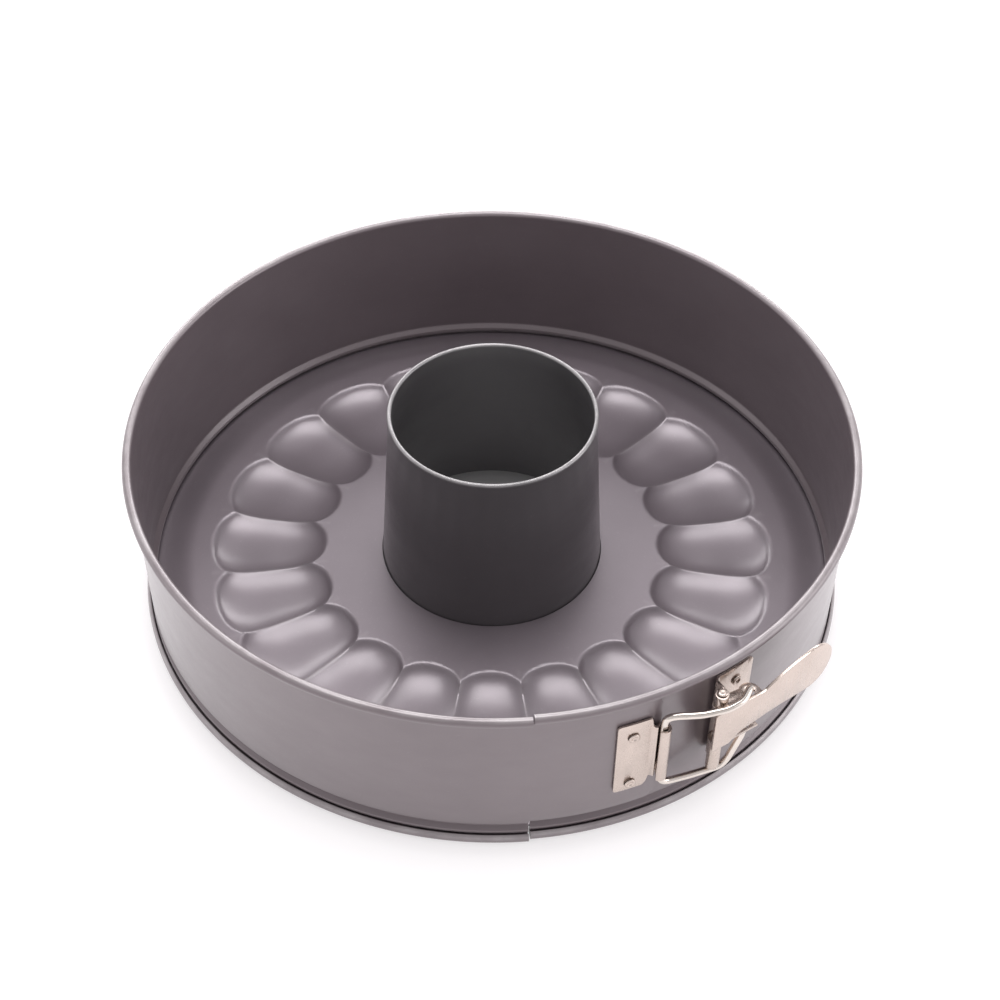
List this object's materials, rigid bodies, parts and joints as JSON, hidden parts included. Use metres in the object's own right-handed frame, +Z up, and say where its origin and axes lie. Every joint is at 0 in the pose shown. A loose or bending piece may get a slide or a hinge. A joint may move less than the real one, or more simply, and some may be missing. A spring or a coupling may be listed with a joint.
{
  "type": "springform pan",
  "caption": "Round springform cake pan with an over-centre side latch and a removable lobed base plate that carries an open centre tube.",
  "frame": {"origin": "on the pan's centre axis at the height of the surface that it stands on", "axes": "+Z up along the centre tube, -Y towards the front of the side ring, the latch at the front right"},
  "size_m": [0.2682, 0.2691, 0.0767],
  "materials": {
    "coated_steel": "satin grey non-stick coating on steel sheet",
    "nickel": "bright nickel plating, slightly warm"
  },
  "bodies": {
    "ring": {"side_ring": "coated_steel", "catch_plate": "nickel", "catch_rivet_upper": "nickel", "catch_rivet_lower": "nickel"},
    "lever_mount": {"lever_bracket": "nickel", "bracket_rivet_upper": "nickel", "bracket_rivet_lower": "nickel", "pivot_pin": "nickel"},
    "lever": {"lever": "nickel"},
    "bail": {"bail": "nickel"},
    "base": {"base_plate": "coated_steel", "tube": "coated_steel"}
  },
  "joints": [
    {"name": "ring_spring", "type": "hinge", "parent": "ring", "child": "lever_mount", "pos_m": [0, 0, 0.0331], "axis": [0, 0, 1], "range_deg": [0, 3.16], "deforming": ["side_ring"]},
    {"name": "lever_swing", "type": "hinge", "parent": "lever_mount", "child": "lever", "pos_m": [0.07477, -0.11646, 0.042], "axis": [0, 0, -1], "range_deg": [0, 90]},
    {"name": "bail_swing", "type": "hinge", "parent": "ring", "child": "bail", "pos_m": [0.05635, -0.12294, 0.038], "axis": [0, 0, -1], "range_deg": [0, 20.45]},
    {"name": "base_lift", "type": "slide", "parent": "ring", "child": "base", "axis": [0, 0, 1], "range_m": [0, 0.09]}
  ],
  "couplings": [
    {"joint": "ring_spring", "follows": "lever_swing", "ratio": 0.035089},
    {"joint": "bail_swing", "follows": "lever_swing", "ratio": 0.22717}
  ]
}
